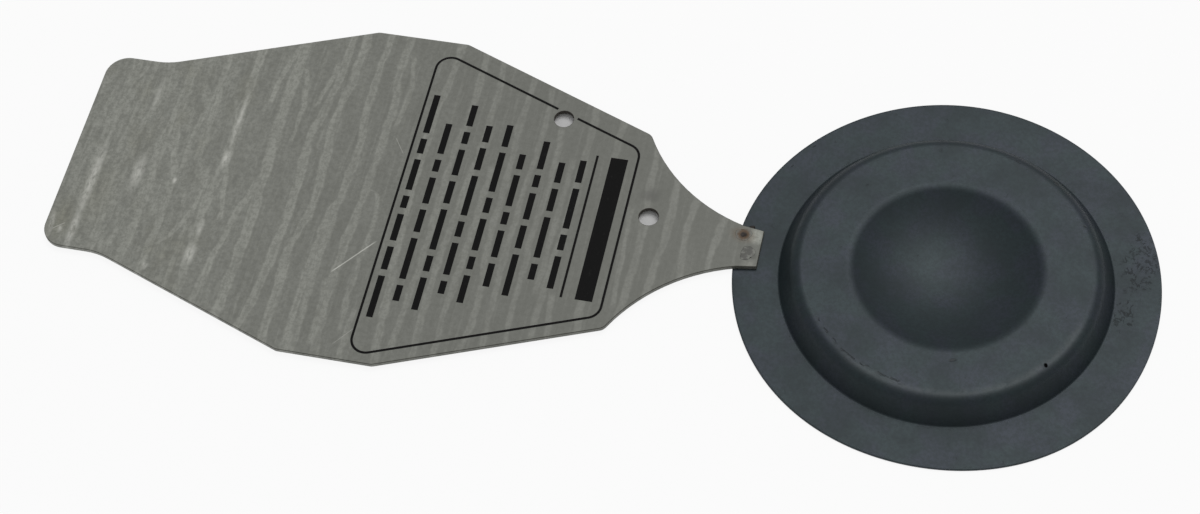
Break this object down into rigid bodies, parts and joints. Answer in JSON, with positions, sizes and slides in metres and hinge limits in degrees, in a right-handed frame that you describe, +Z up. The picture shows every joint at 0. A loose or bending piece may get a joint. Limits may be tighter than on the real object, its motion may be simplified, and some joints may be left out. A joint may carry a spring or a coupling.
{
  "type": "rupture disc",
  "caption": "Flat-flanged bursting disc with a raised conical-seat crown, a sunken bowl and a long flat identification tag welded to its rim.",
  "frame": {"origin": "centre of the disc, in the plane of the flange's underside", "axes": "+Z up through the crown, the way the flow leaves; the tag runs out along -X"},
  "size_m": [0.1895, 0.071, 0.0047],
  "materials": {
    "coated_disc": "matte slate-grey coated metal with faint mottling and fine scuffs",
    "tag_metal": "dull warm-grey stained metal with pale wavy streaks across it",
    "black_ink": "black stamping ink",
    "burnt_weld": "burnt brown-black weld metal"
  },
  "bodies": {
    "root": {"rupture_disc": "coated_disc", "tag": "tag_metal", "tag_print": "black_ink", "weld_beads": "burnt_weld"}
  },
  "joints": []
}
